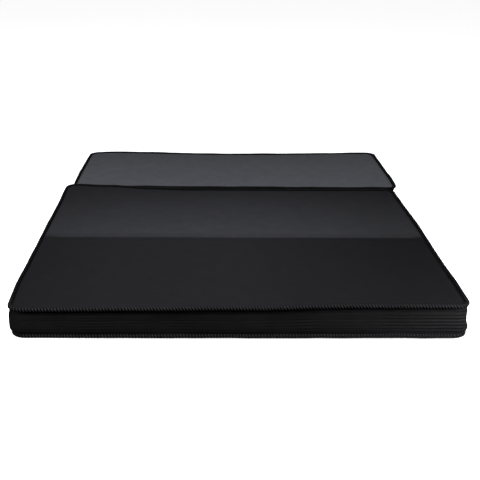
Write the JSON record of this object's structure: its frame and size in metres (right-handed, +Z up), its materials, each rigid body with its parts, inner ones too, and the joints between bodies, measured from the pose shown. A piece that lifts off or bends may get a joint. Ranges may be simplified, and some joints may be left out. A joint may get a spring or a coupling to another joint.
{
  "type": "folding floor mattress",
  "caption": "Folding foam floor mattress lying flat: foam panels in a dark piped cover, hinged to fold over and under each other, with side zips.",
  "frame": {"origin": "middle of the flat mattress's footprint, on the floor", "axes": "+X across the width, +Y along the length towards the panel that folds under, +Z up"},
  "size_m": [1.392, 1.905, 0.108],
  "materials": {
    "top_cloth": "matte",
    "base_cloth": "matte",
    "border_cloth": "matte",
    "piping_cloth": "satin",
    "filler_cord": "matte",
    "foam": "matte",
    "zip_tape": "matte",
    "zip_coil": "satin",
    "zip_metal": "satin"
  },
  "bodies": {
    "front_panel": {"front_foam_core": "foam", "front_top_sheet": "top_cloth", "front_bottom_sheet": "base_cloth", "front_side_band": "border_cloth", "front_top_piping": "piping_cloth", "front_top_piping_cord": "filler_cord", "front_bottom_piping": "piping_cloth", "front_bottom_piping_cord": "filler_cord", "front_zip_tapes": "zip_tape", "front_zip_coils": "zip_coil", "front_zip_stops": "zip_metal"},
    "middle_panel": {"middle_foam_core": "foam", "middle_top_sheet": "top_cloth", "middle_bottom_sheet": "base_cloth", "middle_side_band": "border_cloth", "middle_top_piping": "piping_cloth", "middle_top_piping_cord": "filler_cord", "middle_bottom_piping": "piping_cloth", "middle_bottom_piping_cord": "filler_cord", "middle_zip_tapes": "zip_tape", "middle_zip_coils": "zip_coil", "middle_zip_stops": "zip_metal"},
    "rear_panel": {"rear_foam_core": "foam", "rear_top_sheet": "top_cloth", "rear_bottom_sheet": "base_cloth", "rear_side_band": "border_cloth", "rear_top_piping": "piping_cloth", "rear_top_piping_cord": "filler_cord", "rear_bottom_piping": "piping_cloth", "rear_bottom_piping_cord": "filler_cord", "rear_zip_tapes": "zip_tape", "rear_zip_coils": "zip_coil", "rear_zip_stops": "zip_metal"},
    "front_slider": {"front_zip_slider": "zip_metal"},
    "front_pull": {"front_zip_pull": "zip_metal"},
    "middle_slider": {"middle_zip_slider": "zip_metal"},
    "middle_pull": {"middle_zip_pull": "zip_metal"},
    "rear_slider": {"rear_zip_slider": "zip_metal"},
    "rear_pull": {"rear_zip_pull": "zip_metal"}
  },
  "joints": [
    {"name": "front_fold", "type": "hinge", "parent": "middle_panel", "child": "front_panel", "pos_m": [-0.01, -0.3175, 0.1082], "axis": [-1, 0, 0], "range_deg": [0, 180]},
    {"name": "rear_fold", "type": "hinge", "parent": "middle_panel", "child": "rear_panel", "pos_m": [0, 0.3175, -0.0002], "axis": [-1, 0, 0], "range_deg": [0, 180]},
    {"name": "front_zip_slide", "type": "slide", "parent": "front_panel", "child": "front_slider", "axis": [0, -1, 0], "range_m": [0, 0.504]},
    {"name": "front_pull_swing", "type": "hinge", "parent": "front_slider", "child": "front_pull", "pos_m": [0.6734, -0.38325, 0.054], "axis": [0, 0, 1], "range_deg": [0, 180]},
    {"name": "middle_zip_slide", "type": "slide", "parent": "middle_panel", "child": "middle_slider", "axis": [0, -1, 0], "range_m": [0, 0.504]},
    {"name": "middle_pull_swing", "type": "hinge", "parent": "middle_slider", "child": "middle_pull", "pos_m": [0.6734, 0.252, 0.054], "axis": [0, 0, 1], "range_deg": [0, 180]},
    {"name": "rear_zip_slide", "type": "slide", "parent": "rear_panel", "child": "rear_slider", "axis": [0, -1, 0], "range_m": [0, 0.504]},
    {"name": "rear_pull_swing", "type": "hinge", "parent": "rear_slider", "child": "rear_pull", "pos_m": [0.6934, 0.88725, 0.054], "axis": [0, 0, 1], "range_deg": [0, 180]}
  ]
}
